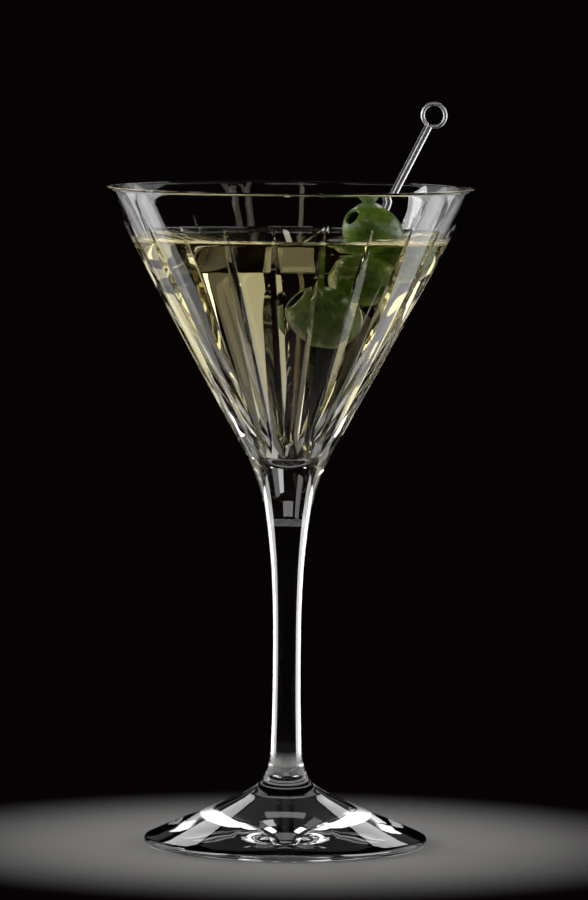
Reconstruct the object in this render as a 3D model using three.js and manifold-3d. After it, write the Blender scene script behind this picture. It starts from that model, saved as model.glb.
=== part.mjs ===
// A clear cocktail in a cut stemmed glass, with three pitted green olives on a double-wire pick.
// Millimetres, +Z up, the viewer on the -Y side. The origin is the centre of the foot's underside.
import * as THREE from "three";
import { ConvexGeometry } from "three/addons/geometries/ConvexGeometry.js";
import { mergeVertices } from "three/addons/utils/BufferGeometryUtils.js";
import Module from "manifold-3d";

// Glass: overall sizes
const GLASS_HEIGHT = 194;
const RIM_RADIUS = 54;
const RIM_WALL = 1.35;
const FOOT_RADIUS = 41.8;
const FOOT_EDGE = 2.9;
const FOOT_EDGE_END = 66;
const FOOT_RING_INNER = 33;
const FOOT_DISH = 1.2;

// Glass: the outline of the foot's upper side and the stem, as [radius, height], up to the bowl's shoulder
const STEM_OUTLINE = [
  [12.2, 15.3],
  [8.2, 18],
  [5.9, 21.5],
  [4.8, 26],
  [4.35, 34],
  [4.05, 57],
  [4.3, 73],
  [5.2, 87],
  [7.4, 101.3],
  [10.6, 111],
];
const SHOULDER_RADIUS = 12.1;
const SHOULDER_HEIGHT = 114.7;
const BOWL_SWELL = 1.2;

// Glass: the cavity has a round floor and a wall that steepens towards the lip. Slopes are degrees from upright.
const CAVITY_FLOOR = 112.8;
const CAVITY_FLOOR_RADIUS = 8;
const BOWL_SLOPE = 28;
const WALL_SLOPE_LOW = 34.5;
const WALL_SLOPE_HIGH = 26.8;

// Upright mitre cuts round the bowl: a V that runs out at both ends
const CUT_COUNT = 21;
const CUT_PHASE = -5.55;
const CUT_DEPTH = 1.2;
const CUT_HALF_WIDTH = 1.75;
const CUT_TOP = 183.5;
const CUT_FULL_BELOW = 170;
const CUT_FULL_ABOVE = 122;
const CUT_BOTTOM = 116.5;
const CUT_REACH = 1;

// Drink
const DRINK_LEVEL = 179;
const GAP = 0.3;

// Olives: each pit axis points to the upper left and the viewer, across the pick
const PIT_DEPTH = 14;
const OLIVE_FULLNESS = 0.92;
const HOLE_LIP = 0.45;
const HOLE_LIP_DROP = 0.3;
const HOLE_END_HEIGHT = 1.5;
const HOLE_END_SHARE = 0.6;
const OLIVES = [
  { name: "olive_top", centre: [24.3, 0, 180.4], axis: [-0.64, -0.56, 0.53], radius: 8.25, half: 10.2, hole: 2.1 },
  { name: "olive_middle", centre: [18.3, -12.4, 171.2], axis: [-0.88, -0.2, 0.4], radius: 7.7, half: 9.6, hole: 2.4 },
  { name: "olive_bottom", centre: [9.2, -20.5, 159.1], axis: [-0.76, -0.3, 0.55], radius: 8.9, half: 11, hole: 3 },
];

// Pick: one wire bent double. Its shaft leans back from an upright round eye, and its tip is in the lowest olive.
const WIRE_RADIUS = 0.6;
const WIRE_SPACING = 1.12;
const EYE_RADIUS = 3.4;
const EYE_CENTRE = new THREE.Vector3(42.4, 26.8, 214.8);
const EYE_UP = new THREE.Vector3(0.5, 0, 1).normalize();
const SHAFT_LEAN = new THREE.Vector3(0.533, 0.9, 1).normalize();
const SHAFT_LENGTH = 82;
const PICK_POINT = 4;
const TIP_SPACING = 0.5;
const EYE_BITE = 0.25;

// Sides of the turned shapes: the glass's is a multiple of 4 and of the number of cuts
const GLASS_SIDES = 84;
const DRINK_SIDES = 48;
const OLIVE_SIDES = 20;
const WIRE_SIDES = 8;
const EYE_SIDES = 24;
const ROOM_SIDES = 12;

const wasm = await Module();
wasm.setup();

function solidOf(geometry) {
  const bare = geometry.index ? geometry.toNonIndexed() : geometry.clone();
  bare.deleteAttribute("normal");
  bare.deleteAttribute("uv");
  const merged = mergeVertices(bare, 1e-4);
  return new wasm.Manifold(
    new wasm.Mesh({
      numProp: 3,
      vertProperties: new Float32Array(merged.attributes.position.array),
      triVerts: new Uint32Array(merged.index.array),
    }),
  );
}

function geometryOf(solid) {
  const mesh = solid.getMesh();
  const geometry = new THREE.BufferGeometry();
  geometry.setAttribute("position", new THREE.BufferAttribute(mesh.vertProperties, 3));
  geometry.setIndex(new THREE.BufferAttribute(mesh.triVerts, 1));
  geometry.computeVertexNormals();
  return geometry;
}

// A profile of [radius, height] points turned about the Z axis.
function turned(profile, sides) {
  const points = profile.map(([radius, height]) => new THREE.Vector2(radius, height));
  return new THREE.LatheGeometry(points, sides).rotateX(Math.PI / 2);
}

// Points along an arc in the profile plane, with its angles in degrees from the radial direction.
function arc(centreRadius, centreHeight, radius, fromDeg, toDeg, steps) {
  return Array.from({ length: steps + 1 }, (_, i) => {
    const angle = THREE.MathUtils.degToRad(fromDeg + ((toDeg - fromDeg) * i) / steps);
    return [centreRadius + radius * Math.cos(angle), centreHeight + radius * Math.sin(angle)];
  });
}

const LIP = { radius: RIM_RADIUS - RIM_WALL / 2, height: GLASS_HEIGHT - RIM_WALL / 2 };
const FLOOR_CENTRE = CAVITY_FLOOR + CAVITY_FLOOR_RADIUS;

// The cavity's round floor from the axis outwards, for a skin that lies inset from the glass.
function cavityFloor(inset) {
  const floor = arc(0, FLOOR_CENTRE, CAVITY_FLOOR_RADIUS - inset, -90, -WALL_SLOPE_LOW, 4);
  return [[0, floor[0][1]], ...floor.slice(1)];
}

// The cavity's wall from its floor to its lip: a curve that meets both without a kink.
function cavityWall(inset) {
  const low = new THREE.Vector2(...cavityFloor(inset).at(-1));
  const lip = arc(LIP.radius, LIP.height, RIM_WALL / 2 + inset, 180 - WALL_SLOPE_HIGH, 180, 1);
  const high = new THREE.Vector2(...lip[0]);
  const [rise, fall] = [WALL_SLOPE_LOW, WALL_SLOPE_HIGH].map((slope) => {
    const angle = THREE.MathUtils.degToRad(slope);
    return new THREE.Vector2(Math.sin(angle), Math.cos(angle));
  });
  const run = high.clone().sub(low).cross(fall) / rise.cross(fall);
  const curve = new THREE.QuadraticBezierCurve(low, low.clone().addScaledVector(rise, run), high);
  return curve.getPoints(4).map((point) => [point.x, point.y]);
}

function bowlOutline() {
  const end = arc(LIP.radius, LIP.height, RIM_WALL / 2, -BOWL_SLOPE, 0, 1)[0];
  const slope = THREE.MathUtils.degToRad(BOWL_SLOPE);
  const middle = [
    (SHOULDER_RADIUS + end[0]) / 2 + BOWL_SWELL * Math.cos(slope),
    (SHOULDER_HEIGHT + end[1]) / 2 - BOWL_SWELL * Math.sin(slope),
  ];
  const curve = new THREE.QuadraticBezierCurve(
    new THREE.Vector2(SHOULDER_RADIUS, SHOULDER_HEIGHT),
    new THREE.Vector2(...middle),
    new THREE.Vector2(...end),
  );
  return curve.getPoints(5).map((point) => [point.x, point.y]);
}

function stemOutline() {
  const ends = [...STEM_OUTLINE, [SHOULDER_RADIUS, SHOULDER_HEIGHT]];
  const curve = new THREE.CatmullRomCurve3(
    ends.map(([radius, height]) => new THREE.Vector3(radius, height, 0)),
    false,
    "centripetal",
  );
  return curve.getPoints(2 * (ends.length - 1)).map((point) => [point.x, point.y]);
}

// A rising outline's radius at a height, between its rows.
function radiusOn(rows, height) {
  const above = Math.max(1, rows.findIndex((row) => row[1] >= height));
  const [low, high] = [rows[above - 1], rows[above]];
  return THREE.MathUtils.mapLinear(height, low[1], high[1], low[0], high[0]);
}

function glassBody() {
  const edge = FOOT_EDGE / 2;
  const dishSteps = 2;
  const dish = Array.from({ length: dishSteps }, (_, i) => {
    const share = i / dishSteps;
    return [FOOT_RING_INNER * share, FOOT_DISH * (1 - share * share)];
  });
  const profile = [
    ...dish,
    [FOOT_RING_INNER, 0],
    ...arc(FOOT_RADIUS - edge, edge, edge, -90, FOOT_EDGE_END, 4),
    ...stemOutline(),
    ...bowlOutline().slice(1, -1),
    ...arc(LIP.radius, LIP.height, RIM_WALL / 2, -BOWL_SLOPE, 180 - WALL_SLOPE_HIGH, 4),
    ...cavityWall(0).slice(1, -1).reverse(),
    ...cavityFloor(0).reverse(),
  ];
  return solidOf(turned(profile, GLASS_SIDES));
}

// One V cut at the front of the bowl, as the hull of its sections along the wall.
function cutWedge() {
  const sections = [
    [CUT_TOP, 0],
    [CUT_FULL_BELOW, CUT_DEPTH],
    [CUT_FULL_ABOVE, CUT_DEPTH],
    [CUT_BOTTOM, 0],
  ];
  const points = sections.flatMap(([height, depth]) => {
    const skin = radiusOn(bowlOutline(), height);
    const halfWidth = (CUT_HALF_WIDTH * (depth + CUT_REACH)) / CUT_DEPTH;
    return [
      new THREE.Vector3(0, -(skin - depth), height),
      new THREE.Vector3(halfWidth, -(skin + CUT_REACH), height),
      new THREE.Vector3(-halfWidth, -(skin + CUT_REACH), height),
    ];
  });
  return new ConvexGeometry(points);
}

function glass() {
  let body = glassBody();
  for (let i = 0; i < CUT_COUNT; i += 1) {
    const azimuth = THREE.MathUtils.degToRad(CUT_PHASE + (360 * i) / CUT_COUNT);
    body = body.subtract(solidOf(cutWedge().rotateZ(azimuth)));
  }
  return body;
}

// Half a turn of an olive's outline from its far end to the end with the hole.
function oliveOutline(olive, clearance, hole) {
  const steps = 12;
  const radius = olive.radius + clearance;
  const halfLength = olive.half + clearance;
  const points = Array.from({ length: steps + 1 }, (_, i) => {
    const angle = (Math.PI * i) / steps;
    return [radius * Math.sin(angle) ** OLIVE_FULLNESS, -halfLength * Math.cos(angle)];
  });
  points[0][0] = 0;
  if (!hole) {
    points[steps][0] = 0;
    return points;
  }
  const body = points.filter(([wide, high]) => high < 0 || wide > hole + 2 * HOLE_LIP);
  const lipHeight = halfLength * Math.sqrt(1 - ((hole + HOLE_LIP_DROP) / radius) ** 2) - HOLE_LIP_DROP;
  const floor = halfLength - PIT_DEPTH;
  return [
    ...body,
    [hole + HOLE_LIP, lipHeight],
    [hole, lipHeight - 2 * HOLE_LIP_DROP],
    [hole, floor + HOLE_END_HEIGHT],
    [hole * HOLE_END_SHARE, floor],
    [0, floor],
  ];
}

function oliveSolid(olive, clearance = 0, hole = 0) {
  const toAxis = new THREE.Quaternion().setFromUnitVectors(
    new THREE.Vector3(0, 0, 1),
    new THREE.Vector3(...olive.axis).normalize(),
  );
  const geometry = turned(oliveOutline(olive, clearance, hole), OLIVE_SIDES)
    .applyQuaternion(toAxis)
    .translate(...olive.centre);
  return solidOf(geometry);
}

// A frame with X across the two wires and Y up them.
function wireFrame(up, origin) {
  const across = new THREE.Vector3().crossVectors(up, new THREE.Vector3(0, 1, 0)).normalize();
  const out = new THREE.Vector3().crossVectors(across, up);
  return new THREE.Matrix4().makeBasis(across, up, out).setPosition(origin);
}

const EYE_FRAME = wireFrame(EYE_UP, EYE_CENTRE);
const SHAFT_FRAME = wireFrame(SHAFT_LEAN, EYE_CENTRE.clone().addScaledVector(EYE_UP, -EYE_RADIUS));

// The space that the double wire needs from the eye down to its tip.
function shaftRoom() {
  const room = SHAFT_LENGTH + GAP;
  const channel = new THREE.CylinderGeometry(1, 1, room, ROOM_SIDES)
    .scale(WIRE_SPACING / 2 + WIRE_RADIUS + GAP, 1, WIRE_RADIUS + GAP)
    .translate(0, -room / 2, 0);
  return solidOf(channel.applyMatrix4(SHAFT_FRAME));
}

// One wire from a little above the eye's foot to its tip, which is bent towards the other's.
function wire(side) {
  const ends = [EYE_BITE, PICK_POINT - SHAFT_LENGTH];
  const points = ends.flatMap((height) =>
    Array.from({ length: WIRE_SIDES }, (_, i) => {
      const angle = (2 * Math.PI * i) / WIRE_SIDES;
      const across = (side * WIRE_SPACING) / 2 + WIRE_RADIUS * Math.cos(angle);
      return new THREE.Vector3(across, height, WIRE_RADIUS * Math.sin(angle));
    }),
  );
  const tip = new THREE.Vector3((side * TIP_SPACING) / 2, -SHAFT_LENGTH, 0);
  return new ConvexGeometry([...points, tip]).applyMatrix4(SHAFT_FRAME);
}

function pick() {
  const eye = new THREE.TorusGeometry(EYE_RADIUS, WIRE_RADIUS, WIRE_SIDES, EYE_SIDES).applyMatrix4(EYE_FRAME);
  return solidOf(eye).add(solidOf(wire(-1))).add(solidOf(wire(1)));
}

// The drink fills the cavity to its level, round the olives and the pick.
function drink(room) {
  const wall = cavityWall(GAP);
  const profile = [
    ...cavityFloor(GAP),
    ...wall.slice(1).filter((row) => row[1] < DRINK_LEVEL),
    [radiusOn(wall, DRINK_LEVEL), DRINK_LEVEL],
    [0, DRINK_LEVEL],
  ];
  let body = solidOf(turned(profile, DRINK_SIDES));
  for (const olive of OLIVES) body = body.subtract(oliveSolid(olive, GAP));
  return body.subtract(room);
}

const CLEAR_GLASS = new THREE.MeshStandardMaterial({ color: 0xe8eef0, roughness: 0.03, metalness: 0 });
const PALE_DRINK = new THREE.MeshStandardMaterial({ color: 0xd8d3a4, roughness: 0.05, metalness: 0 });
const GREEN_OLIVE = new THREE.MeshStandardMaterial({ color: 0x6f8a35, roughness: 0.35, metalness: 0 });
const STEEL = new THREE.MeshStandardMaterial({ color: 0xc8cacc, roughness: 0.15, metalness: 1 });

// Slivers that the cutting leaves, under a hundredth of a millimetre, are merged into their neighbours.
const SLIVER = 0.01;

function namedMesh(name, solid, material) {
  const mesh = new THREE.Mesh(geometryOf(solid.simplify(SLIVER)), material);
  mesh.name = name;
  return mesh;
}

const room = shaftRoom();
const cocktail = new THREE.Group();
cocktail.add(namedMesh("glass", glass(), CLEAR_GLASS));
cocktail.add(namedMesh("drink", drink(room), PALE_DRINK));
for (const olive of OLIVES) {
  const body = oliveSolid(olive, 0, olive.hole).subtract(room);
  cocktail.add(namedMesh(olive.name, body, GREEN_OLIVE));
}
cocktail.add(namedMesh("pick", pick(), STEEL));

export default cocktail;
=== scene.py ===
"""A clear cocktail in a cut, cone-shaped stemmed glass, with green olives on a double-wire pick.

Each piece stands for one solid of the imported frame, at the same place and size. Lengths are metres and
angles degrees unless a name or comment says otherwise. +Z is up, and the viewer is on the -Y side.
"""

import logging
import math
from collections.abc import Mapping, Sequence
from dataclasses import dataclass, field
from enum import Enum
from typing import Protocol

import bmesh
import bpy
from mathutils import Matrix, Vector, noise


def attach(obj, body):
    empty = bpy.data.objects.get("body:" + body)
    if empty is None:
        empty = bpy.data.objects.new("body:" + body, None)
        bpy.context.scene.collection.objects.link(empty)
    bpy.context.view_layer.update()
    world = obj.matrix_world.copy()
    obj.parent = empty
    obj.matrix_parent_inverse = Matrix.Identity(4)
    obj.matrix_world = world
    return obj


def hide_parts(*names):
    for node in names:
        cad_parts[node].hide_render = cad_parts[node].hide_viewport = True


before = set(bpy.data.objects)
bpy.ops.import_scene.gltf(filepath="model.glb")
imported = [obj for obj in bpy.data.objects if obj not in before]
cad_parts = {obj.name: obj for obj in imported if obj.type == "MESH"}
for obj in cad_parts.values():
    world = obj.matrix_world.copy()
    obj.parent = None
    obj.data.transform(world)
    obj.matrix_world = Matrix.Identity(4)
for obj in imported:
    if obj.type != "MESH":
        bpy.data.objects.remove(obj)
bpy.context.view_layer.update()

LOG = logging.getLogger("cocktail")
MM = 0.001
MERGE_DISTANCE = 0.001 * MM
BODY = "root"
# The mask of painted shade inside the olives' pit holes, kept on their points.
HOLE_SHADE_MASK = "hole_shade_mask"
WARM_WHITE = (1.0, 0.86, 0.7)

# The Mix node has one set of sockets for each kind of data, and these are the ones for colours.
MIX_SHARE = 0
MIX_FIRST = 6
MIX_SECOND = 7
MIX_RESULT = 2

# A Point lies in a flat outline, at a radius and a height, or for the pick across and along its line.
Point = tuple[float, float]
Place = tuple[float, float, float]
Colour = tuple[float, float, float]


class Slot(Enum):
    """The record's material slots."""

    GLASS = "clear_glass"
    DRINK = "drink"
    OLIVE = "olive"
    STEEL = "steel"


# Shader maths

class Value:
    """A shader socket on which Python's operators add Math nodes."""

    def __init__(self, shader: "Shader", socket: bpy.types.NodeSocket) -> None:
        """Keeps the socket and the shader that it belongs to."""
        self.shader = shader
        self.socket = socket

    def _operate(self, operation: str, first: "Value | float", second: "Value | float") -> "Value":
        """The result of one Math node on two inputs."""
        return self.shader.add("ShaderNodeMath", {"operation": operation}, {0: first, 1: second})

    def __add__(self, other: "Value | float") -> "Value":
        """The sum."""
        return self._operate("ADD", self, other)

    def __mul__(self, other: "Value | float") -> "Value":
        """The product."""
        return self._operate("MULTIPLY", self, other)

    def __sub__(self, other: "Value | float") -> "Value":
        """The difference."""
        return self._operate("SUBTRACT", self, other)

    def __rsub__(self, other: float) -> "Value":
        """The difference from a number."""
        return self._operate("SUBTRACT", other, self)

    __radd__ = __add__
    __rmul__ = __mul__

    def ramp(self, low: float, high: float, bottom: float = 0.0, top: float = 1.0) -> "Value":
        """A smooth rise from bottom, where the value is low or less, to top, where it is high or more."""
        inputs = {"Value": self, "From Min": low, "From Max": high, "To Min": bottom, "To Max": top}
        return self.shader.add("ShaderNodeMapRange", {"interpolation_type": "SMOOTHSTEP"}, inputs)


class Shader:
    """One material and the nodes that its methods add."""

    def __init__(self, name: str) -> None:
        """Starts an empty material.

        Args:
            name: The material's name.
        """
        self.material = bpy.data.materials.new(name)
        self.material.use_nodes = True
        self.tree = self.material.node_tree
        self.tree.nodes.clear()

    def add(
        self,
        kind: str,
        settings: Mapping[str, object] | None = None,
        inputs: Mapping[str | int, object] | None = None,
        output: str | int = 0,
    ) -> Value:
        """Adds any node.

        Args:
            kind: The node's type.
            settings: Its properties, set first. The key stops gives a ramp's (position, colour) pairs.
            inputs: Values or links of its sockets.
            output: The socket that is returned.

        Returns:
            That output.
        """
        node = self.tree.nodes.new(kind)
        for key, setting in (settings or {}).items():
            if key == "stops":
                self._set_stops(node.color_ramp, setting)
            else:
                setattr(node, key, setting)
        for key, value in (inputs or {}).items():
            socket = node.inputs[key]
            if isinstance(value, Value):
                self.tree.links.new(value.socket, socket)
            else:
                socket.default_value = value
        return Value(self, node.outputs[output])

    @staticmethod
    def _set_stops(ramp: bpy.types.ColorRamp, stops: Sequence[tuple[float, Colour]]) -> None:
        """Gives a colour ramp its stops.

        Args:
            ramp: The ramp.
            stops: Pairs of position and colour, in order.
        """
        while len(ramp.elements) < len(stops):
            ramp.elements.new(1.0)
        for element, (position, colour) in zip(ramp.elements, stops):
            element.position = position
            element.color = (*colour, 1.0)

    def place(self) -> Value:
        """The Object coordinates."""
        return self.add("ShaderNodeTexCoord", output="Object")

    def stretched(self, upright: float, turn: Place = (0.0, 0.0, 0.0)) -> Value:
        """Object coordinates scaled along Z, which draws marks out upright, and then turned, in radians."""
        inputs = {"Vector": self.place(), "Rotation": turn, "Scale": (1.0, 1.0, upright)}
        return self.add("ShaderNodeMapping", {}, inputs)

    def noise(self, scale: float, detail: float = 2.0, where: Value | None = None) -> Value:
        """Soft noise round 0.5, with scale features to the metre and detail finer layers."""
        inputs = {"Vector": where or self.place(), "Scale": scale, "Detail": detail}
        return self.add("ShaderNodeTexNoise", {}, inputs, "Fac")

    def bump(
        self, height: Value, distance: float, strength: float = 1.0, below: Value | None = None
    ) -> Value:
        """A normal that follows a height.

        Args:
            height: The height, from 0 to 1.
            distance: What a height of 1 is worth.
            strength: The share of it that shows.
            below: A normal that this one adds to.

        Returns:
            The normal.
        """
        inputs = {"Height": height, "Distance": distance, "Strength": strength}
        if below:
            inputs["Normal"] = below
        return self.add("ShaderNodeBump", {}, inputs, "Normal")

    def colours(self, value: Value, *stops: tuple[float, Colour]) -> Value:
        """The colour at a value along a ramp, whose stops are pairs of position and colour."""
        return self.add("ShaderNodeValToRGB", {"stops": stops}, {"Fac": value}, "Color")

    def blend(self, share: Value | float, first: object, second: object) -> Value:
        """A mix of two colours.

        Args:
            share: How much of the second.
            first: A colour or a link.
            second: A colour or a link.

        Returns:
            The mixed colour.
        """
        settings = {"data_type": "RGBA", "blend_type": "MIX"}
        inputs = {MIX_SHARE: share, MIX_FIRST: first, MIX_SECOND: second}
        return self.add("ShaderNodeMix", settings, inputs, MIX_RESULT)

    def surface(self, **inputs: object) -> Value:
        """The Principled shader, with underscores in socket names for spaces."""
        named = {key.replace("_", " "): value for key, value in inputs.items()}
        return self.add("ShaderNodeBsdfPrincipled", {}, named)

    def done(self, surface: Value, volume: Value | None = None) -> bpy.types.Material:
        """Connects the output.

        Args:
            surface: The surface shader.
            volume: The volume shader, if there is one.

        Returns:
            The material.
        """
        inputs = {"Surface": surface}
        if volume:
            inputs["Volume"] = volume
        output = self.tree.nodes.new("ShaderNodeOutputMaterial")
        for key, value in inputs.items():
            self.tree.links.new(value.socket, output.inputs[key])
        return self.material


# Finishes

class Finish(Protocol):
    """What a piece is dressed in."""

    def material(self) -> bpy.types.Material:
        """The finish as a material."""


@dataclass(frozen=True)
class ClearGlass:
    """Polished crystal, a little wavy, with the faintest wipe marks."""

    ior: float = 1.52
    tint: Colour = (0.985, 0.992, 0.99)
    wipe_scale: float = 60.0
    wipe_stretch: float = 0.35
    wipe_roughness: float = 0.02
    wave_scale: float = 70.0
    wave_stretch: float = 0.3
    wave_height: float = 0.035 * MM

    def material(self) -> bpy.types.Material:
        """Builds the material.

        Returns:
            The material.
        """
        shader = Shader("clear_glass_finish")
        wipe = shader.noise(self.wipe_scale, 3.0, shader.stretched(self.wipe_stretch))
        wave = shader.noise(self.wave_scale, 1.0, shader.stretched(self.wave_stretch))
        return shader.done(
            shader.surface(
                Base_Color=(*self.tint, 1.0),
                Roughness=wipe.ramp(0.5, 0.8, top=self.wipe_roughness),
                IOR=self.ior,
                Transmission_Weight=1.0,
                Normal=shader.bump(wave, self.wave_height),
            )
        )


@dataclass(frozen=True)
class StrawDrink:
    """A clear, pale straw liquid that deepens with its thickness."""

    ior: float = 1.36
    depth_colour: Colour = (0.95, 0.835, 0.29)
    density: float = 16.0
    ripple_scale: float = 45.0
    ripple_height: float = 0.02 * MM

    def material(self) -> bpy.types.Material:
        """Builds the material.

        Returns:
            The material.
        """
        shader = Shader("straw_drink_finish")
        ripple = shader.noise(self.ripple_scale, 1.0)
        surface = shader.surface(
            Base_Color=(1.0, 1.0, 1.0, 1.0),
            Roughness=0.0,
            IOR=self.ior,
            Transmission_Weight=1.0,
            Normal=shader.bump(ripple, self.ripple_height),
        )
        depth = {"Color": (*self.depth_colour, 1.0), "Density": self.density}
        return shader.done(surface, shader.add("ShaderNodeVolumeAbsorption", {}, depth))


@dataclass(frozen=True)
class OliveSkin:
    """Wet olive skin: mottled greens with pale specks and fine pores, and painted shade inside the pit hole.
    """

    dark: Colour = (0.09, 0.17, 0.012)
    middle: Colour = (0.22, 0.36, 0.03)
    light: Colour = (0.42, 0.55, 0.07)
    speck: Colour = (0.45, 0.52, 0.2)
    # Painted shade inside the pit hole, not the flesh's own colour.
    painted_hole_shade: Colour = (0.006, 0.009, 0.003)
    mottle_scale: float = 160.0
    mottle_height: float = 0.5 * MM
    grain_scale: float = 700.0
    grain_share: float = 0.3
    speck_scale: float = 1900.0
    speck_share: float = 0.45
    pore_scale: float = 1300.0
    pore_height: float = 0.05 * MM
    pore_strength: float = 0.6
    glow_depth: float = 2.6 * MM
    glow_spread: Colour = (1.0, 1.15, 0.4)

    def material(self) -> bpy.types.Material:
        """Builds the material.

        Returns:
            The material.
        """
        shader = Shader("olive_skin_finish")
        mottle = shader.noise(self.mottle_scale, 3.0)
        grain = shader.noise(self.grain_scale, 3.0)
        tone = mottle * (1 - self.grain_share) + grain * self.grain_share
        skin = shader.colours(tone, (0.33, self.dark), (0.5, self.middle), (0.68, self.light))
        specks = shader.noise(self.speck_scale, 1.0).ramp(0.66, 0.74)
        flesh = shader.blend(specks * self.speck_share, skin, (*self.speck, 1.0))
        # How far down the pit hole a point lies, which blends the skin to painted shade.
        inside = shader.add("ShaderNodeAttribute", {"attribute_name": HOLE_SHADE_MASK}, {}, "Fac")
        pores = shader.noise(self.pore_scale, 2.0)
        uneven = shader.bump(mottle, self.mottle_height)
        return shader.done(
            shader.surface(
                # The base colour turns to painted shade down the pit hole.
                Base_Color=shader.blend(inside.ramp(0.0, 1.0), flesh, (*self.painted_hole_shade, 1.0)),
                Roughness=grain.ramp(0.3, 0.7, bottom=0.26, top=0.42),
                Subsurface_Weight=0.55,
                Subsurface_Radius=self.glow_spread,
                Subsurface_Scale=self.glow_depth,
                Coat_Weight=0.6,
                Coat_Roughness=0.12,
                Normal=shader.bump(pores, self.pore_height, self.pore_strength, uneven),
            )
        )


@dataclass(frozen=True)
class PolishedSteel:
    """Polished stainless wire with fine lines and rubbed spots."""

    colour: Colour = (0.88, 0.88, 0.89)
    rubbed_colour: Colour = (0.7, 0.7, 0.72)
    line_scale: float = 2600.0
    line_stretch: float = 0.08
    line_turn: Place = (0.0, 0.0, 0.0)
    line_height: float = 0.02 * MM
    rub_scale: float = 420.0
    rub_height: float = 0.12 * MM

    def material(self) -> bpy.types.Material:
        """Builds the material.

        Returns:
            The material.
        """
        shader = Shader("polished_steel_finish")
        lines = shader.noise(self.line_scale, 2.0, shader.stretched(self.line_stretch, self.line_turn))
        rubbed = shader.noise(self.rub_scale, 3.0)
        spots = shader.blend(rubbed.ramp(0.45, 0.75), (*self.colour, 1.0), (*self.rubbed_colour, 1.0))
        return shader.done(
            shader.surface(
                Base_Color=spots,
                Metallic=1.0,
                Roughness=lines.ramp(0.3, 0.7, bottom=0.34, top=0.48),
                Normal=shader.bump(lines, self.line_height, below=shader.bump(rubbed, self.rub_height)),
            )
        )


@dataclass(frozen=True)
class MattFloor:
    """A pale matt floor that fades out round the object into the dark surroundings, a painted pool of light.
    """

    colour: Colour = (0.62, 0.61, 0.6)
    cloud_colour: Colour = (0.5, 0.49, 0.48)
    cloud_scale: float = 7.0
    cloud_share: float = 0.12
    grain_scale: float = 900.0
    grain_height: float = 0.02 * MM
    full_radius: float = 0.045
    faded_radius: float = 0.13

    def material(self) -> bpy.types.Material:
        """Builds the material.

        Returns:
            The material.
        """
        shader = Shader("matt_floor_finish")
        distance = shader.add("ShaderNodeVectorMath", {"operation": "LENGTH"}, {0: shader.place()}, "Value")
        # The fade outwards stands in for light falling off: a painted pool of light.
        faded = distance.ramp(self.full_radius, self.faded_radius)
        grain = shader.noise(self.grain_scale, 3.0)
        cloud = shader.noise(self.cloud_scale, 2.0).ramp(0.3, 0.7, top=self.cloud_share)
        return shader.done(
            shader.surface(
                Base_Color=shader.blend(cloud, (*self.colour, 1.0), (*self.cloud_colour, 1.0)),
                Roughness=grain.ramp(0.3, 0.7, bottom=0.55, top=0.7),
                Alpha=1 - faded,
                Normal=shader.bump(grain, self.grain_height),
            )
        )


# Profiles and turned shapes

def on_circle(centre: Point, radius: float, degrees: float) -> Point:
    """The point of a circle at an angle from the outward direction."""
    angle = math.radians(degrees)
    return centre[0] + radius * math.cos(angle), centre[1] + radius * math.sin(angle)


def arc(centre: Point, radius: float, start: float, stop: float, steps: int) -> list[Point]:
    """Points along an arc, between two angles from the outward direction."""
    return [on_circle(centre, radius, start + (stop - start) * i / steps) for i in range(steps + 1)]


def straight(first: Point, last: Point, steps: int) -> list[Point]:
    """Points along a line, with both ends."""
    shares = [i / steps for i in range(steps + 1)]
    return [(first[0] + (last[0] - first[0]) * s, first[1] + (last[1] - first[1]) * s) for s in shares]


def smooth_line(points: Sequence[Point], steps: int) -> list[Point]:
    """A smooth line through points, each span timed by the root of its length.

    Args:
        points: What it passes through.
        steps: The number of spans between two of them.

    Returns:
        The line's points.
    """
    knots = [Vector(p) for p in points]
    knots = [2 * knots[0] - knots[1], *knots, 2 * knots[-1] - knots[-2]]
    # Three rounds blend four neighbours into one point. Each has its first time and the times' distance.
    rounds = ((0, 1), (0, 2), (1, 1))
    line = [knots[1]]
    for near in zip(knots, knots[1:], knots[2:], knots[3:]):
        times = [0.0]
        for p, q in zip(near, near[1:]):
            times.append(times[-1] + math.sqrt((q - p).length))
        for i in range(1, steps + 1):
            t = times[1] + (times[2] - times[1]) * i / steps
            level = list(near)
            for first, width in rounds:
                lows = times[first:]
                level = [
                    p + (q - p) * (t - low) / (high - low)
                    for p, q, low, high in zip(level, level[1:], lows, lows[width:])
                ]
            line.append(level[0])
    return [(p.x, p.y) for p in line]


def turned(profile: Sequence[Point], sides: int, start: float = 0.0) -> bmesh.types.BMesh:
    """Spins a profile about the Z axis into a closed shape.

    Args:
        profile: Its (radius, height) points, from axis to axis.
        sides: The number of columns.
        start: The angle of the first column from the front, in radians.

    Returns:
        The shape.
    """
    shape = bmesh.new()
    line = [shape.verts.new((r * math.sin(start), -r * math.cos(start), z)) for r, z in profile]
    edges = [shape.edges.new(pair) for pair in zip(line, line[1:])]
    bmesh.ops.spin(
        shape,
        geom=line + edges,
        cent=(0, 0, 0),
        axis=(0, 0, 1),
        angle=2 * math.pi,
        steps=sides,
        use_merge=True,
        use_duplicate=False,
    )
    bmesh.ops.remove_doubles(shape, verts=shape.verts, dist=MERGE_DISTANCE)
    bmesh.ops.recalc_face_normals(shape, faces=shape.faces)
    return shape


def crease(shape: bmesh.types.BMesh, degrees: float) -> None:
    """Shades a shape smooth, apart from edges that turn more than an angle.

    Args:
        shape: The shape.
        degrees: That angle.
    """
    for face in shape.faces:
        face.smooth = True
    for edge in shape.edges:
        if edge.is_manifold:
            edge.smooth = edge.calc_face_angle() < math.radians(degrees)


def eased(share: float) -> float:
    """A smooth step from 0 to 1."""
    share = min(1.0, max(0.0, share))
    return share * share * (3 - 2 * share)


# The object's pieces

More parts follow.
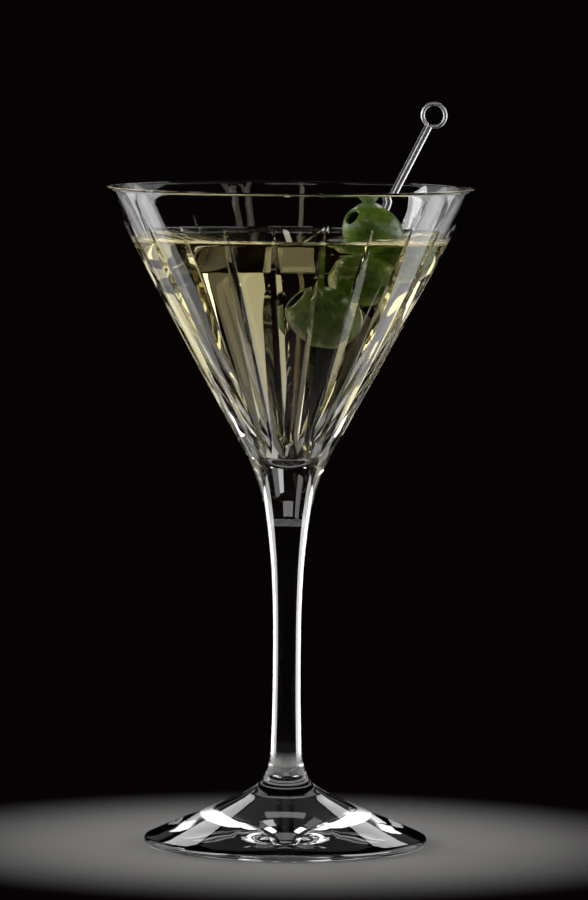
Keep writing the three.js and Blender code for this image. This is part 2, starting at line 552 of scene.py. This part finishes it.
class Piece:
    """A separate piece of the object that stands for one solid of the frame."""

    node: str
    name: str
    slot: Slot
    finish: Finish

    def shape(self) -> bmesh.types.BMesh:
        """The piece's mesh, in place."""
        raise NotImplementedError

    def build(self) -> bpy.types.Object:
        """Makes the piece's object and ties it to the frame.

        Returns:
            The object.
        """
        mesh = bpy.data.meshes.new(self.name)
        shape = self.shape()
        shape.to_mesh(mesh)
        shape.free()
        mesh.materials.append(self.finish.material())
        piece = bpy.data.objects.new(self.name, mesh)
        bpy.context.scene.collection.objects.link(piece)
        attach(piece, BODY)
        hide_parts(self.node)
        return piece


@dataclass(frozen=True)
class Bend:
    """A quadratic curve that rises in the profile plane."""

    low: Vector
    control: Vector
    high: Vector

    def share(self, height: float) -> float:
        """How far along the curve a height is reached, from 0 to 1.

        Args:
            height: The height.

        Returns:
            The share.
        """
        a = self.low.y - 2 * self.control.y + self.high.y
        b = self.control.y - self.low.y
        c = self.low.y - height
        return -c / (b + math.sqrt(b * b - a * c))

    def at(self, share: float) -> Point:
        """The point at a share of the way, from 0 to 1."""
        point = self.low.lerp(self.control, share).lerp(self.control.lerp(self.high, share), share)
        return point.x, point.y

    def radius(self, height: float) -> float:
        """The curve's radius at a height."""
        return self.at(self.share(height))[0]

    def points(self, steps: int, stop: float = 1.0) -> list[Point]:
        """Points from the curve's lower end up to a share of the way."""
        return [self.at(stop * i / steps) for i in range(steps + 1)]


@dataclass
class Cavity:
    """The inside of the bowl: a wall that steepens towards the lip, over a round floor."""

    floor_height: float = 112.8 * MM
    floor_radius: float = 8.0 * MM
    floor_slope: float = 34.5
    lip_slope: float = 26.8
    lip: Point = (53.325 * MM, 193.325 * MM)
    lip_radius: float = 0.675 * MM

    def wall(self, inset: float = 0.0) -> Bend:
        """The wall from the round floor to the lip.

        Args:
            inset: How far inside the glass.

        Returns:
            The wall's curve.
        """
        centre = (0.0, self.floor_height + self.floor_radius)
        low = Vector(on_circle(centre, self.floor_radius - inset, -self.floor_slope))
        high = Vector(on_circle(self.lip, self.lip_radius + inset, 180.0 - self.lip_slope))
        slopes = (math.radians(self.floor_slope), math.radians(self.lip_slope))
        rise, fall = (Vector((math.sin(slope), math.cos(slope))) for slope in slopes)
        reach = (high - low).cross(fall) / rise.cross(fall)
        return Bend(low, low + rise * reach, high)

    def floor(self, inset: float, steps: int) -> list[Point]:
        """The round floor, from the axis outwards.

        Args:
            inset: How far inside the glass.
            steps: The number of spans.

        Returns:
            The points.
        """
        centre = (0.0, self.floor_height + self.floor_radius)
        line = arc(centre, self.floor_radius - inset, -90.0, -self.floor_slope, steps)
        return [(0.0, line[0][1]), *line[1:]]


@dataclass
class MitreCuts:
    """Upright V cuts round the bowl, each running out at both ends.

    The phase is in radians. Of the columns from one cut to the next, cut_columns lie on each side of a cut's
    middle, and the rest are plain wall.
    """

    count: int = 21
    phase: float = math.radians(-5.55)
    depth: float = 1.2 * MM
    half_width: float = 1.75 * MM
    least_share: float = 0.04
    top: float = 183.5 * MM
    full_below: float = 166.0 * MM
    top_power: float = 0.6
    full_above: float = 122.0 * MM
    bottom: float = 116.5 * MM
    bottom_power: float = 0.7
    columns: int = 10
    cut_columns: int = 2
    spread_run: float = 7.0 * MM

    def share(self, height: float) -> float:
        """How much of the full cut there is at a height.

        Args:
            height: The height.

        Returns:
            The share, from 0 to 1.
        """
        above = max(0.0, (self.top - height) / (self.top - self.full_below))
        below = max(0.0, (height - self.bottom) / (self.full_above - self.bottom))
        return min(1.0, above**self.top_power, below**self.bottom_power)

    def move(self, radius: float, column: int, height: float) -> tuple[float, float]:
        """Where a point of the wall goes.

        Args:
            radius: The wall's radius there.
            column: The point's column, counted from the first cut's middle.
            height: Its height.

        Returns:
            Its angle from the front, in radians, and its radius.
        """
        half = self.columns // 2
        pitch = 2 * math.pi / self.count
        sector, within = divmod(column + half, self.columns)
        within -= half
        side = math.copysign(1, within)
        step = abs(within)
        share = self.share(height)
        clear = max(0.0, height - self.top, self.bottom - height)
        wide = math.asin(max(share, self.least_share) * self.half_width / radius)
        even = self.cut_columns * pitch / self.columns
        wide += (even - wide) * eased(clear / self.spread_run)
        if step <= self.cut_columns:
            offset = wide * step / self.cut_columns
        else:
            beyond = (step - self.cut_columns) / (half - self.cut_columns)
            offset = wide + (pitch / 2 - wide) * beyond
        cut = self.depth * share * max(0.0, 1 - step / self.cut_columns)
        return self.phase + sector * pitch + side * offset, radius - cut


@dataclass
class StemGlass(Piece):
    """The glass: foot, stem and cut bowl in one piece."""

    node: str = "glass"
    name: str = "glass_cut_crystal"
    slot: Slot = Slot.GLASS
    finish: ClearGlass = field(default_factory=ClearGlass)
    cavity: Cavity = field(default_factory=Cavity)
    cuts: MitreCuts = field(default_factory=MitreCuts)
    foot_radius: float = 41.8 * MM
    foot_edge: float = 2.9 * MM
    foot_edge_end: float = 66.0
    foot_steps: int = 14
    ring_inner: float = 33.0 * MM
    dish: float = 1.2 * MM
    # The foot's slope, the stem and the shoulder as (radius, height) in millimetres, from the foot up.
    stem: tuple[Point, ...] = (
        (12.2, 15.3),
        (8.2, 18.0),
        (5.9, 21.5),
        (4.8, 26.0),
        (4.35, 34.0),
        (4.05, 57.0),
        (4.3, 73.0),
        (5.2, 87.0),
        (7.4, 101.3),
        (10.6, 111.0),
        (12.1, 114.7),
    )
    bowl_swell: float = 1.2 * MM
    bowl_slope: float = 28.0
    bowl_tolerance: float = 0.05 * MM
    row_height: float = 2.0 * MM
    fine_row_height: float = 0.8 * MM
    sharp_angle: float = 17.0

    def bowl(self) -> Bend:
        """The bowl's outline from its shoulder to the lip.

        Returns:
            The outline's curve.
        """
        low = Vector(self.stem[-1]) * MM
        high = Vector(on_circle(self.cavity.lip, self.cavity.lip_radius, -self.bowl_slope))
        slope = math.radians(self.bowl_slope)
        out = Vector((math.cos(slope), -math.sin(slope)))
        return Bend(low, (low + high) / 2 + out * self.bowl_swell, high)

    def _bowl_rows(self, bowl: Bend) -> list[float]:
        """Heights of the bowl's rows, close together where the cuts run out.

        Args:
            bowl: The bowl's outline.

        Returns:
            The heights, from the shoulder up.
        """
        margin = 2 * MM
        run_out = 8 * MM
        last = bowl.high.y - 1.2 * MM
        rows = []
        height = bowl.low.y + self.fine_row_height
        while height < last:
            rows.append(height)
            near_top = self.cuts.top - run_out < height < self.cuts.top + margin
            near_bottom = height < self.cuts.full_above + margin
            height += self.fine_row_height if near_top or near_bottom else self.row_height
        return rows

    def _underside(self) -> list[Point]:
        """The dished underside of the foot, from the middle to the ring it stands on."""
        shares = [i / self.foot_steps for i in range(self.foot_steps)]
        return [(self.ring_inner * share, self.dish * (1 - share**2)) for share in shares]

    def profile(self) -> list[Point]:
        """The outline from the middle of the underside round to the cavity's floor.

        Returns:
            The points.
        """
        edge = self.foot_edge / 2
        rim_centre = (self.foot_radius - edge, edge)
        rim = arc(rim_centre, edge, -90.0, self.foot_edge_end, self.foot_steps)
        stem = smooth_line([(r * MM, z * MM) for r, z in self.stem], steps=7)
        outline = self.bowl()
        bowl = [(outline.radius(height), height) for height in self._bowl_rows(outline)]
        lip_stop = 180.0 - self.cavity.lip_slope
        lip = arc(self.cavity.lip, self.cavity.lip_radius, -self.bowl_slope, lip_stop, steps=16)
        floor = self.cavity.floor(inset=0.0, steps=14)
        wall = self.cavity.wall().points(steps=40)
        return [
            *self._underside(),
            *straight((self.ring_inner, 0.0), rim[0], steps=3)[:-1],
            *rim,
            *straight(rim[-1], stem[0], steps=16)[1:],
            *stem[1:],
            *bowl,
            *lip,
            *reversed(wall[:-1]),
            *reversed(floor[:-1]),
        ]

    def shape(self) -> bmesh.types.BMesh:
        """Turns the glass and presses the cuts into its bowl.

        Returns:
            The shape.
        """
        sides = self.cuts.count * self.cuts.columns
        shape = turned(self.profile(), sides, self.cuts.phase)
        bowl = self.bowl()
        for vert in shape.verts:
            radius = math.hypot(vert.co.x, vert.co.y)
            beside_bowl = bowl.low.y < vert.co.z < bowl.high.y
            if beside_bowl and abs(radius - bowl.radius(vert.co.z)) <= self.bowl_tolerance:
                angle = math.atan2(vert.co.x, -vert.co.y) - self.cuts.phase
                column = round(angle * sides / (2 * math.pi))
                angle, radius = self.cuts.move(radius, column, vert.co.z)
                vert.co.x = radius * math.sin(angle)
                vert.co.y = -radius * math.cos(angle)
        bmesh.ops.recalc_face_normals(shape, faces=shape.faces)
        crease(shape, self.sharp_angle)
        return shape


@dataclass
class Olive(Piece):
    """A pitted olive, a little uneven. Its axis points out of the pit hole."""

    node: str
    centre: Vector
    axis: Vector
    radius: float
    half_length: float
    bore: float
    seed: float
    name: str = field(init=False)
    slot: Slot = Slot.OLIVE
    finish: OliveSkin = field(default_factory=OliveSkin)
    fullness: float = 0.92
    pit_depth: float = 14.0 * MM
    lip: float = 0.45 * MM
    lip_drop: float = 0.15 * MM
    # From where on the lip, and over what depth, the painted shade in the pit hole deepens.
    shaded_lip_share: float = 0.6
    shade_fade_depth: float = 1.6 * MM
    swell: float = 0.3 * MM
    swell_size: float = 7.0 * MM
    dimples: float = 0.08 * MM
    dimples_per_swell: float = 3.1
    sharp_angle: float = 50.0

    def __post_init__(self) -> None:
        """Names the piece after its node."""
        self.name = f"{self.node}_skin"

    def place(self) -> Matrix:
        """The turn and move that take the turned shape to its place."""
        turn = self.axis.to_track_quat("Z", "X").to_matrix().to_4x4()
        return Matrix.Translation(self.centre) @ turn

    def reach(self, point: Vector) -> float:
        """How far a point lies outside the skin, roughly.

        Args:
            point: The point.

        Returns:
            The distance, negative inside.
        """
        local = self.place().inverted() @ point
        stretched = Vector((local.x / self.radius, local.y / self.radius, local.z / self.half_length))
        return (stretched.length - 1) * self.radius

    def _skin(self, mouth: float, steps: int) -> list[Point]:
        """The skin's outline from the far end to the hole's mouth.

        Args:
            mouth: The mouth's radius.
            steps: The number of spans that the skin would have without the hole.

        Returns:
            The points.
        """
        skin = [(0.0, -self.half_length)]
        for i in range(1, steps):
            angle = math.pi * i / steps
            wide = self.radius * math.sin(angle) ** self.fullness
            if angle < math.pi / 2 or wide > mouth:
                skin.append((wide, -self.half_length * math.cos(angle)))
        return skin

    def profile(self) -> list[Point]:
        """The outline from the far end round the skin, over the hole's lip and down the bore.

        Returns:
            The points.
        """
        mouth = self.bore + self.lip
        top = self.half_length * math.sqrt(1 - (mouth / self.radius) ** 2) - self.lip_drop
        rounded = arc((mouth, top - self.lip), self.lip, 90.0, 180.0, steps=5)
        floor = self.half_length - self.pit_depth
        bore = straight(rounded[-1], (self.bore, floor + self.bore), steps=8)
        bottom = arc((0.0, floor + self.bore), self.bore, 0.0, -90.0, steps=6)
        return [*self._skin(mouth, steps=44), *rounded, *bore[1:], *bottom[1:-1], (0.0, floor)]

    def _paint_hole_shade(self, shape: bmesh.types.BMesh) -> None:
        """Writes how deep each point of the hole lies, for the skin's finish to darken it as painted shade.

        Args:
            shape: The turned shape, before it is moved.
        """
        # Painted shade: the deeper a point lies in the hole, the darker the skin is painted.
        depth = shape.verts.layers.float.new(HOLE_SHADE_MASK)
        mouth = self.bore + self.shaded_lip_share * self.lip
        below_floor = self.half_length - self.pit_depth - MM
        for vert in shape.verts:
            if math.hypot(vert.co.x, vert.co.y) < mouth and vert.co.z > below_floor:
                vert[depth] = min(1.0, (self.half_length - vert.co.z) / self.shade_fade_depth)

    def shape(self) -> bmesh.types.BMesh:
        """Turns the olive, makes it uneven and puts it in place.

        Returns:
            The shape.
        """
        shape = turned(self.profile(), sides=72)
        self._paint_hole_shade(shape)
        for vert in shape.verts:
            spot = vert.co / self.swell_size + Vector((self.seed, 0.0, 0.0))
            swell = self.swell * noise.noise(spot)
            dimples = self.dimples * noise.noise(spot * self.dimples_per_swell)
            vert.co += vert.normal * (swell + dimples)
        bmesh.ops.transform(shape, matrix=self.place(), verts=shape.verts)
        bmesh.ops.recalc_face_normals(shape, faces=shape.faces)
        crease(shape, self.sharp_angle)
        return shape


@dataclass
class Drink(Piece):
    """The liquid, with a rim that climbs the glass and the olives."""

    cavity: Cavity
    olives: Sequence[Olive]
    node: str = "drink"
    name: str = "drink_liquid"
    slot: Slot = Slot.DRINK
    finish: StrawDrink = field(default_factory=StrawDrink)
    level: float = 179.0 * MM
    into_wall: float = 0.06 * MM
    climb: float = 1.1 * MM
    climb_run: float = 1.3 * MM
    olive_share: float = 0.3
    ring_width: float = 0.9 * MM
    fine_ring_width: float = 0.25 * MM
    fine_reach: float = 3.0 * MM
    sharp_angle: float = 40.0

    def _rise(self, distance: float) -> float:
        """How much of the climb is left at a distance from what it climbs, as a share."""
        return math.exp(-distance / self.climb_run)

    def profile(self) -> list[Point]:
        """The outline from the floor up the wall and back to the middle of the surface.

        Returns:
            The points.
        """
        floor = self.cavity.floor(inset=-self.into_wall, steps=14)
        outline = self.cavity.wall(inset=-self.into_wall)
        wall = outline.points(30, stop=outline.share(self.level + self.climb))
        edge = wall[-1][0]
        surface = []
        middle = 0.4 * MM
        distance = 0.0
        while distance < edge - middle:
            distance += self.fine_ring_width if distance < self.fine_reach else self.ring_width
            surface.append((max(0.0, edge - distance), self.level + self.climb * self._rise(distance)))
        return [*floor, *wall[1:], *surface, (0.0, self.level)]

    def shape(self) -> bmesh.types.BMesh:
        """Turns the liquid and lifts its surface round the olives.

        Returns:
            The shape.
        """
        shape = turned(self.profile(), sides=168)
        wall = self.cavity.wall(inset=0.1 * MM)
        lowest = self.level - 0.01 * MM
        for vert in shape.verts:
            if vert.co.z < lowest or math.hypot(vert.co.x, vert.co.y) >= wall.radius(vert.co.z):
                continue
            for olive in self.olives:
                gap = max(0.0, olive.reach(Vector((vert.co.x, vert.co.y, self.level))))
                vert.co.z += self.olive_share * self.climb * self._rise(gap)
        bmesh.ops.recalc_face_normals(shape, faces=shape.faces)
        crease(shape, self.sharp_angle)
        return shape


@dataclass
class Pick(Piece):
    """One wire bent double: an upright round eye, on a shaft that leans back and ends in a pressed point.

    Distances along the pick count up from the bend between the shaft and the eye.
    """

    node: str = "pick"
    name: str = "pick_double_wire"
    slot: Slot = Slot.STEEL
    finish: PolishedSteel = field(init=False)
    eye: Vector = field(default_factory=lambda: Vector((42.4, 26.8, 214.8)) * MM)
    eye_up: Vector = field(default_factory=lambda: Vector((0.5, 0.0, 1.0)).normalized())
    lean: Vector = field(default_factory=lambda: Vector((0.533, 0.9, 1.0)).normalized())
    shaft: float = 82.0 * MM
    wire: float = 0.6 * MM
    spacing: float = 1.12 * MM
    eye_radius: float = 3.4 * MM
    neck_radius: float = 0.8 * MM
    bend: float = 1.5 * MM
    point: float = 4.0 * MM
    tip_inset: float = 0.2 * MM
    tip_share: float = 0.35
    sharp_angle: float = 50.0

    def __post_init__(self) -> None:
        """Takes the finish, whose pattern of lines is turned with the pick's lean."""
        turn = self.lean.rotation_difference(Vector((0, 0, 1))).to_euler()
        self.finish = PolishedSteel(line_turn=tuple(turn))

    def spine(self, along: float) -> Vector:
        """A point of the pick's middle line, which bends below the eye.

        Args:
            along: The distance up the line from the bend's middle.

        Returns:
            The point.
        """
        joint = self.eye - self.eye_up * self.eye_radius
        if along > self.bend:
            return joint + self.eye_up * along
        if along < -self.bend:
            return joint + self.lean * along
        share = (self.bend - along) / (2 * self.bend)
        return joint + (self.eye_up * (1 - share) ** 2 - self.lean * share**2) * self.bend

    def half_line(self) -> list[Place]:
        """One wire from the tip to the top of the eye.

        Returns:
            Its points, as (across, along, share of the full thickness).
        """
        half = self.spacing / 2
        reach = self.eye_radius + self.neck_radius
        neck_across = half + self.neck_radius
        neck = self.eye_radius - math.sqrt(reach**2 - neck_across**2)
        stop = math.degrees(math.atan2(self.eye_radius - neck, -neck_across))
        shoulder = (half, self.point - self.shaft)
        below_bend = (half, -2 * self.bend)
        wire = [
            *straight(shoulder, below_bend, steps=20),
            *straight(below_bend, (half, neck), steps=12)[1:],
            *arc((neck_across, neck), self.neck_radius, 180.0, stop, steps=6)[1:],
            *arc((0.0, self.eye_radius), self.eye_radius, stop - 180.0, 90.0, steps=24)[1:],
        ]
        tip = (self.tip_share * half, self.tip_inset - self.shaft, self.tip_share)
        return [tip, *((across, along, 1.0) for across, along in wire)]

    def shape(self) -> bmesh.types.BMesh:
        """Bends the wire along its line and puts it in place.

        Returns:
            The shape.
        """
        half = self.half_line()
        line = half + [(-across, along, thick) for across, along, thick in reversed(half[:-1])]
        sideways = self.lean.cross(Vector((0, 1, 0))).normalized()
        curve = bpy.data.curves.new(self.name, "CURVE")
        curve.dimensions = "3D"
        curve.bevel_depth = self.wire
        curve.bevel_resolution = 5
        curve.use_fill_caps = True
        spline = curve.splines.new("POLY")
        spline.points.add(len(line) - 1)
        for knot, (across, along, thick) in zip(spline.points, line):
            knot.co = (*(self.spine(along) + sideways * across), 1.0)
            knot.radius = thick
        bent = bpy.data.objects.new(self.name + "_line", curve)
        shape = bmesh.new()
        shape.from_mesh(bent.to_mesh())
        bpy.data.objects.remove(bent)
        bpy.data.curves.remove(curve)
        bmesh.ops.remove_doubles(shape, verts=shape.verts, dist=MERGE_DISTANCE)
        bmesh.ops.recalc_face_normals(shape, faces=shape.faces)
        crease(shape, self.sharp_angle)
        return shape


# The studio

@dataclass(frozen=True)
class SoftBox:
    """A distant rectangular light that the camera doesn't see, placed by the angles it fills from the glass.

    Its azimuth runs from straight behind the glass towards +X, and its elevation from level upwards.
    """

    name: str
    azimuth: tuple[float, float]
    elevation: tuple[float, float]
    brightness: float
    colour: Colour = (1.0, 1.0, 1.0)
    distance: float = 2.5
    aim: Place = (0.0, 0.0, 0.15)

    def _span(self, angles: tuple[float, float]) -> float:
        """The length that fills a span of angles at the light's distance."""
        return 2 * self.distance * math.tan(math.radians(angles[1] - angles[0]) / 2)

    def build(self) -> None:
        """Makes the light, facing the glass."""
        turn, tilt = (math.radians(sum(angles) / 2) for angles in (self.azimuth, self.elevation))
        way = Vector((math.sin(turn) * math.cos(tilt), math.cos(turn) * math.cos(tilt), math.sin(tilt)))
        data = bpy.data.lights.new(self.name, "AREA")
        data.shape = "RECTANGLE"
        data.size = self._span(self.azimuth) * math.cos(tilt)
        data.size_y = self._span(self.elevation)
        data.energy = self.brightness * math.pi * data.size * data.size_y
        data.color = self.colour
        light = bpy.data.objects.new(self.name, data)
        light.location = Vector(self.aim) + way * self.distance
        light.rotation_euler = (-way).to_track_quat("-Z", "Y").to_euler()
        light.visible_camera = False
        bpy.context.scene.collection.objects.link(light)


@dataclass
class Studio:
    """Floor, lights, surroundings and camera."""

    floor_radius: float = 0.14
    floor_finish: MattFloor = field(default_factory=MattFloor)
    surround: Colour = (0.002, 0.001, 0.0012)
    camera_place: Place = (0.0016, -1.988, 0.262)
    pitch: float = 4.18
    roll: float = 0.475
    lens_mm: float = 271.0
    sensor_mm: float = 36.0
    boxes: tuple[SoftBox, ...] = (
        SoftBox("band_left", (-46.0, -31.0), (-25.0, 8.0), 0.6),
        SoftBox("band_right", (31.0, 46.0), (-25.0, 8.0), 0.45),
        SoftBox("side_left", (-92.0, -46.0), (-25.0, 8.0), 2.4),
        SoftBox("side_right", (46.0, 100.0), (-25.0, 8.0), 2.2),
        SoftBox("inner_left", (-46.0, -31.0), (8.0, 24.0), 0.45),
        SoftBox("inner_right", (31.0, 46.0), (8.0, 24.0), 0.4),
        SoftBox("shoulder_left", (-92.0, -46.0), (8.0, 28.0), 1.6),
        SoftBox("shoulder_right", (46.0, 96.0), (8.0, 28.0), 1.6),
        SoftBox("low_left", (-66.0, -32.0), (-48.0, -25.0), 1.5),
        SoftBox("low_right", (32.0, 70.0), (-48.0, -25.0), 1.5),
        SoftBox("rear_low", (-8.0, 8.0), (5.0, 11.0), 0.16),
        SoftBox("window", (-76.0, -64.0), (28.0, 35.0), 7.0),
        SoftBox("rear_right", (12.0, 20.0), (14.0, 24.0), 0.12),
        SoftBox("rear_gold", (6.0, 12.0), (15.0, 24.0), 0.5),
        SoftBox("rear_left", (-20.0, -12.0), (5.0, 20.0), 0.12),
        SoftBox("foot_left", (-22.0, -12.0), (24.0, 37.0), 2.6),
        SoftBox("foot_right", (12.0, 22.0), (24.0, 37.0), 2.6),
        SoftBox("foot_sky", (-22.0, 22.0), (40.0, 56.0), 0.12),
        SoftBox("front_left", (-145.0, -95.0), (4.0, 28.0), 1.4),
        SoftBox("front_right", (95.0, 145.0), (4.0, 28.0), 0.8),
        SoftBox("front", (162.0, 198.0), (33.0, 43.0), 2.0),
        SoftBox("streak_left", (127.0, 132.0), (33.0, 52.0), 1.0, WARM_WHITE),
        SoftBox("streak_middle", (140.0, 144.0), (38.0, 60.0), 0.9, WARM_WHITE),
        SoftBox("streak_right", (-172.0, -168.0), (46.0, 68.0), 1.0, WARM_WHITE),
    )

    def floor(self) -> None:
        """Lays the floor."""
        shape = bmesh.new()
        bmesh.ops.create_circle(shape, cap_ends=True, segments=96, radius=self.floor_radius)
        mesh = bpy.data.meshes.new("floor")
        shape.to_mesh(mesh)
        shape.free()
        mesh.materials.append(self.floor_finish.material())
        floor = bpy.data.objects.new("floor", mesh)
        bpy.context.scene.collection.objects.link(floor)

    def camera(self) -> None:
        """Sets up the camera at the photograph's angle."""
        data = bpy.data.cameras.new("camera")
        data.sensor_fit = "VERTICAL"
        data.sensor_height = self.sensor_mm
        data.lens = self.lens_mm
        camera = bpy.data.objects.new("camera", data)
        camera.location = self.camera_place
        look = Matrix.Rotation(math.radians(90 - self.pitch), 4, "X")
        camera.rotation_euler = (look @ Matrix.Rotation(math.radians(self.roll), 4, "Z")).to_euler()
        bpy.context.scene.collection.objects.link(camera)
        bpy.context.scene.camera = camera

    def surroundings(self) -> None:
        """Makes the dark surroundings and sets how light is shown and how often it bounces."""
        scene = bpy.context.scene
        world = bpy.data.worlds.new("surroundings")
        world.use_nodes = True
        world.node_tree.nodes["Background"].inputs["Color"].default_value = (*self.surround, 1.0)
        scene.world = world
        scene.view_settings.view_transform = "Standard"
        scene.cycles.max_bounces = 32
        scene.cycles.transmission_bounces = 28
        scene.cycles.glossy_bounces = 8

    def build(self) -> None:
        """Sets up everything round the object."""
        self.camera()
        self.surroundings()
        self.floor()
        for box in self.boxes:
            box.build()
            LOG.info("%s: brightness %.2f", box.name, box.brightness)


def olive_rank() -> list[Olive]:
    """The olives on the pick, from the top down.

    Returns:
        The olives.
    """
    top = Olive(
        "olive_top",
        centre=Vector((24.3, 0.0, 180.4)) * MM,
        axis=Vector((-0.64, -0.56, 0.53)),
        radius=8.25 * MM,
        half_length=10.2 * MM,
        bore=2.1 * MM,
        seed=1.0,
    )
    middle = Olive(
        "olive_middle",
        centre=Vector((18.3, -12.4, 171.2)) * MM,
        axis=Vector((-0.88, -0.2, 0.4)),
        radius=7.7 * MM,
        half_length=9.6 * MM,
        bore=2.4 * MM,
        seed=5.0,
    )
    bottom = Olive(
        "olive_bottom",
        centre=Vector((9.2, -20.5, 159.1)) * MM,
        axis=Vector((-0.76, -0.3, 0.55)),
        radius=8.9 * MM,
        half_length=11.0 * MM,
        bore=3.0 * MM,
        seed=9.0,
    )
    return [top, middle, bottom]


def main() -> None:
    """Builds the object's pieces in order, then the studio."""
    logging.basicConfig(level=logging.INFO, format="%(message)s")
    cavity = Cavity()
    olives = olive_rank()
    pieces = [StemGlass(cavity=cavity), Drink(cavity, olives), *olives, Pick()]
    for piece in pieces:
        built = piece.build()
        LOG.info("%s: %d faces, for %s", built.name, len(built.data.polygons), piece.node)
    Studio().build()


if __name__ == "__main__":
    main()
    bpy.context.view_layer.update()
